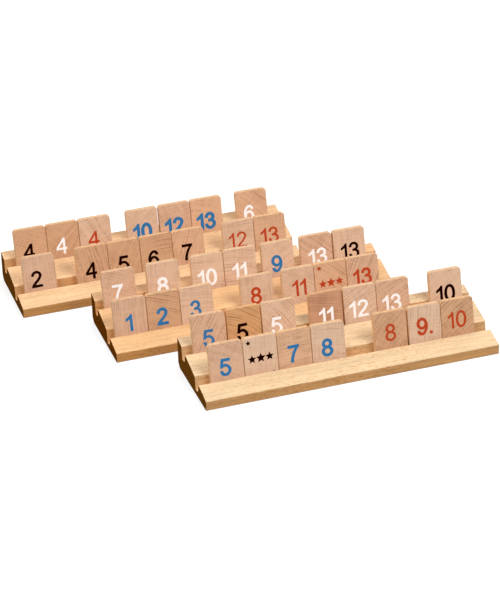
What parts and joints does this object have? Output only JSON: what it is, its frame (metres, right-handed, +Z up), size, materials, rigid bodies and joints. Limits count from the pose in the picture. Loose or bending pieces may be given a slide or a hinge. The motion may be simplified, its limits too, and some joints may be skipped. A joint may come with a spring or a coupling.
{
  "type": "wooden rummy racks with number tiles",
  "caption": "Staggered sloping beech racks, each with two grooves in which wooden number tiles stand leaning back.",
  "frame": {"origin": "on the table, below the middle of the whole set", "axes": "+X along the racks to the right as seen by the player, +Y away from the player to the back, +Z up"},
  "size_m": [0.349, 0.2714, 0.0495],
  "materials": {
    "rack_beech": "planed beech, matt, no varnish",
    "tile_beech": "sanded beech end grain, matt"
  },
  "bodies": {
    "rear_rack": {"rear_rack": "rack_beech"},
    "middle_rack": {"middle_rack": "rack_beech"},
    "front_rack": {"front_rack": "rack_beech"},
    "rear_upper_tile_1": {"rear_upper_tile_1": "tile_beech"},
    "rear_upper_tile_2": {"rear_upper_tile_2": "tile_beech"},
    "rear_upper_tile_3": {"rear_upper_tile_3": "tile_beech"},
    "rear_upper_tile_4": {"rear_upper_tile_4": "tile_beech"},
    "rear_upper_tile_5": {"rear_upper_tile_5": "tile_beech"},
    "rear_upper_tile_6": {"rear_upper_tile_6": "tile_beech"},
    "rear_upper_tile_7": {"rear_upper_tile_7": "tile_beech"},
    "rear_lower_tile_1": {"rear_lower_tile_1": "tile_beech"},
    "rear_lower_tile_2": {"rear_lower_tile_2": "tile_beech"},
    "rear_lower_tile_3": {"rear_lower_tile_3": "tile_beech"},
    "rear_lower_tile_4": {"rear_lower_tile_4": "tile_beech"},
    "rear_lower_tile_5": {"rear_lower_tile_5": "tile_beech"},
    "rear_lower_tile_6": {"rear_lower_tile_6": "tile_beech"},
    "rear_lower_tile_7": {"rear_lower_tile_7": "tile_beech"},
    "middle_upper_tile_1": {"middle_upper_tile_1": "tile_beech"},
    "middle_upper_tile_2": {"middle_upper_tile_2": "tile_beech"},
    "middle_upper_tile_3": {"middle_upper_tile_3": "tile_beech"},
    "middle_upper_tile_4": {"middle_upper_tile_4": "tile_beech"},
    "middle_upper_tile_5": {"middle_upper_tile_5": "tile_beech"},
    "middle_upper_tile_6": {"middle_upper_tile_6": "tile_beech"},
    "middle_upper_tile_7": {"middle_upper_tile_7": "tile_beech"},
    "middle_lower_tile_1": {"middle_lower_tile_1": "tile_beech"},
    "middle_lower_tile_2": {"middle_lower_tile_2": "tile_beech"},
    "middle_lower_tile_3": {"middle_lower_tile_3": "tile_beech"},
    "middle_lower_tile_4": {"middle_lower_tile_4": "tile_beech"},
    "middle_lower_tile_5": {"middle_lower_tile_5": "tile_beech"},
    "middle_lower_tile_6": {"middle_lower_tile_6": "tile_beech"},
    "middle_lower_tile_7": {"middle_lower_tile_7": "tile_beech"},
    "front_upper_tile_1": {"front_upper_tile_1": "tile_beech"},
    "front_upper_tile_2": {"front_upper_tile_2": "tile_beech"},
    "front_upper_tile_3": {"front_upper_tile_3": "tile_beech"},
    "front_upper_tile_4": {"front_upper_tile_4": "tile_beech"},
    "front_upper_tile_5": {"front_upper_tile_5": "tile_beech"},
    "front_upper_tile_6": {"front_upper_tile_6": "tile_beech"},
    "front_upper_tile_7": {"front_upper_tile_7": "tile_beech"},
    "front_lower_tile_1": {"front_lower_tile_1": "tile_beech"},
    "front_lower_tile_2": {"front_lower_tile_2": "tile_beech"},
    "front_lower_tile_3": {"front_lower_tile_3": "tile_beech"},
    "front_lower_tile_4": {"front_lower_tile_4": "tile_beech"},
    "front_lower_tile_5": {"front_lower_tile_5": "tile_beech"},
    "front_lower_tile_6": {"front_lower_tile_6": "tile_beech"},
    "front_lower_tile_7": {"front_lower_tile_7": "tile_beech"}
  },
  "joints": [
    {"name": "rear_rack_slide", "type": "slide", "parent": "middle_rack", "child": "rear_rack", "axis": [0, 1, 0], "range_m": [-0.024, 0.06]},
    {"name": "front_rack_slide", "type": "slide", "parent": "middle_rack", "child": "front_rack", "axis": [0, -1, 0], "range_m": [-0.0215, 0.06]},
    {"name": "rear_upper_tile_1_lift", "type": "slide", "parent": "rear_rack", "child": "rear_upper_tile_1", "axis": [0, 0.2079, 0.9781], "range_m": [0, 0.04]},
    {"name": "rear_upper_tile_2_lift", "type": "slide", "parent": "rear_rack", "child": "rear_upper_tile_2", "axis": [0, 0.2079, 0.9781], "range_m": [0, 0.04]},
    {"name": "rear_upper_tile_3_lift", "type": "slide", "parent": "rear_rack", "child": "rear_upper_tile_3", "axis": [0, 0.2079, 0.9781], "range_m": [0, 0.04]},
    {"name": "rear_upper_tile_4_lift", "type": "slide", "parent": "rear_rack", "child": "rear_upper_tile_4", "axis": [0, 0.2079, 0.9781], "range_m": [0, 0.04]},
    {"name": "rear_upper_tile_5_lift", "type": "slide", "parent": "rear_rack", "child": "rear_upper_tile_5", "axis": [0, 0.2079, 0.9781], "range_m": [0, 0.04]},
    {"name": "rear_upper_tile_6_lift", "type": "slide", "parent": "rear_rack", "child": "rear_upper_tile_6", "axis": [0, 0.2079, 0.9781], "range_m": [0, 0.04]},
    {"name": "rear_upper_tile_7_lift", "type": "slide", "parent": "rear_rack", "child": "rear_upper_tile_7", "axis": [0, 0.2079, 0.9781], "range_m": [0, 0.04]},
    {"name": "rear_lower_tile_1_lift", "type": "slide", "parent": "rear_rack", "child": "rear_lower_tile_1", "axis": [0, 0.2079, 0.9781], "range_m": [0, 0.04]},
    {"name": "rear_lower_tile_2_lift", "type": "slide", "parent": "rear_rack", "child": "rear_lower_tile_2", "axis": [0, 0.2079, 0.9781], "range_m": [0, 0.04]},
    {"name": "rear_lower_tile_3_lift", "type": "slide", "parent": "rear_rack", "child": "rear_lower_tile_3", "axis": [0, 0.2079, 0.9781], "range_m": [0, 0.04]},
    {"name": "rear_lower_tile_4_lift", "type": "slide", "parent": "rear_rack", "child": "rear_lower_tile_4", "axis": [0, 0.2079, 0.9781], "range_m": [0, 0.04]},
    {"name": "rear_lower_tile_5_lift", "type": "slide", "parent": "rear_rack", "child": "rear_lower_tile_5", "axis": [0, 0.2079, 0.9781], "range_m": [0, 0.04]},
    {"name": "rear_lower_tile_6_lift", "type": "slide", "parent": "rear_rack", "child": "rear_lower_tile_6", "axis": [0, 0.2079, 0.9781], "range_m": [0, 0.04]},
    {"name": "rear_lower_tile_7_lift", "type": "slide", "parent": "rear_rack", "child": "rear_lower_tile_7", "axis": [0, 0.2079, 0.9781], "range_m": [0, 0.04]},
    {"name": "middle_upper_tile_1_lift", "type": "slide", "parent": "middle_rack", "child": "middle_upper_tile_1", "axis": [0, 0.2079, 0.9781], "range_m": [0, 0.04]},
    {"name": "middle_upper_tile_2_lift", "type": "slide", "parent": "middle_rack", "child": "middle_upper_tile_2", "axis": [0, 0.2079, 0.9781], "range_m": [0, 0.04]},
    {"name": "middle_upper_tile_3_lift", "type": "slide", "parent": "middle_rack", "child": "middle_upper_tile_3", "axis": [0, 0.2079, 0.9781], "range_m": [0, 0.04]},
    {"name": "middle_upper_tile_4_lift", "type": "slide", "parent": "middle_rack", "child": "middle_upper_tile_4", "axis": [0, 0.2079, 0.9781], "range_m": [0, 0.04]},
    {"name": "middle_upper_tile_5_lift", "type": "slide", "parent": "middle_rack", "child": "middle_upper_tile_5", "axis": [0, 0.2079, 0.9781], "range_m": [0, 0.04]},
    {"name": "middle_upper_tile_6_lift", "type": "slide", "parent": "middle_rack", "child": "middle_upper_tile_6", "axis": [0, 0.2079, 0.9781], "range_m": [0, 0.04]},
    {"name": "middle_upper_tile_7_lift", "type": "slide", "parent": "middle_rack", "child": "middle_upper_tile_7", "axis": [0, 0.2079, 0.9781], "range_m": [0, 0.04]},
    {"name": "middle_lower_tile_1_lift", "type": "slide", "parent": "middle_rack", "child": "middle_lower_tile_1", "axis": [0, 0.2079, 0.9781], "range_m": [0, 0.04]},
    {"name": "middle_lower_tile_2_lift", "type": "slide", "parent": "middle_rack", "child": "middle_lower_tile_2", "axis": [0, 0.2079, 0.9781], "range_m": [0, 0.04]},
    {"name": "middle_lower_tile_3_lift", "type": "slide", "parent": "middle_rack", "child": "middle_lower_tile_3", "axis": [0, 0.2079, 0.9781], "range_m": [0, 0.04]},
    {"name": "middle_lower_tile_4_lift", "type": "slide", "parent": "middle_rack", "child": "middle_lower_tile_4", "axis": [0, 0.2079, 0.9781], "range_m": [0, 0.04]},
    {"name": "middle_lower_tile_5_lift", "type": "slide", "parent": "middle_rack", "child": "middle_lower_tile_5", "axis": [0, 0.2079, 0.9781], "range_m": [0, 0.04]},
    {"name": "middle_lower_tile_6_lift", "type": "slide", "parent": "middle_rack", "child": "middle_lower_tile_6", "axis": [0, 0.2079, 0.9781], "range_m": [0, 0.04]},
    {"name": "middle_lower_tile_7_lift", "type": "slide", "parent": "middle_rack", "child": "middle_lower_tile_7", "axis": [0, 0.2079, 0.9781], "range_m": [0, 0.04]},
    {"name": "front_upper_tile_1_lift", "type": "slide", "parent": "front_rack", "child": "front_upper_tile_1", "axis": [0, 0.2079, 0.9781], "range_m": [0, 0.04]},
    {"name": "front_upper_tile_2_lift", "type": "slide", "parent": "front_rack", "child": "front_upper_tile_2", "axis": [0, 0.2079, 0.9781], "range_m": [0, 0.04]},
    {"name": "front_upper_tile_3_lift", "type": "slide", "parent": "front_rack", "child": "front_upper_tile_3", "axis": [0, 0.2079, 0.9781], "range_m": [0, 0.04]},
    {"name": "front_upper_tile_4_lift", "type": "slide", "parent": "front_rack", "child": "front_upper_tile_4", "axis": [0, 0.2079, 0.9781], "range_m": [0, 0.04]},
    {"name": "front_upper_tile_5_lift", "type": "slide", "parent": "front_rack", "child": "front_upper_tile_5", "axis": [0, 0.2079, 0.9781], "range_m": [0, 0.04]},
    {"name": "front_upper_tile_6_lift", "type": "slide", "parent": "front_rack", "child": "front_upper_tile_6", "axis": [0, 0.2079, 0.9781], "range_m": [0, 0.04]},
    {"name": "front_upper_tile_7_lift", "type": "slide", "parent": "front_rack", "child": "front_upper_tile_7", "axis": [0, 0.2079, 0.9781], "range_m": [0, 0.04]},
    {"name": "front_lower_tile_1_lift", "type": "slide", "parent": "front_rack", "child": "front_lower_tile_1", "axis": [0, 0.2079, 0.9781], "range_m": [0, 0.04]},
    {"name": "front_lower_tile_2_lift", "type": "slide", "parent": "front_rack", "child": "front_lower_tile_2", "axis": [0, 0.2079, 0.9781], "range_m": [0, 0.04]},
    {"name": "front_lower_tile_3_lift", "type": "slide", "parent": "front_rack", "child": "front_lower_tile_3", "axis": [0, 0.2079, 0.9781], "range_m": [0, 0.04]},
    {"name": "front_lower_tile_4_lift", "type": "slide", "parent": "front_rack", "child": "front_lower_tile_4", "axis": [0, 0.2079, 0.9781], "range_m": [0, 0.04]},
    {"name": "front_lower_tile_5_lift", "type": "slide", "parent": "front_rack", "child": "front_lower_tile_5", "axis": [0, 0.2079, 0.9781], "range_m": [0, 0.04]},
    {"name": "front_lower_tile_6_lift", "type": "slide", "parent": "front_rack", "child": "front_lower_tile_6", "axis": [0, 0.2079, 0.9781], "range_m": [0, 0.04]},
    {"name": "front_lower_tile_7_lift", "type": "slide", "parent": "front_rack", "child": "front_lower_tile_7", "axis": [0, 0.2079, 0.9781], "range_m": [0, 0.04]}
  ]
}
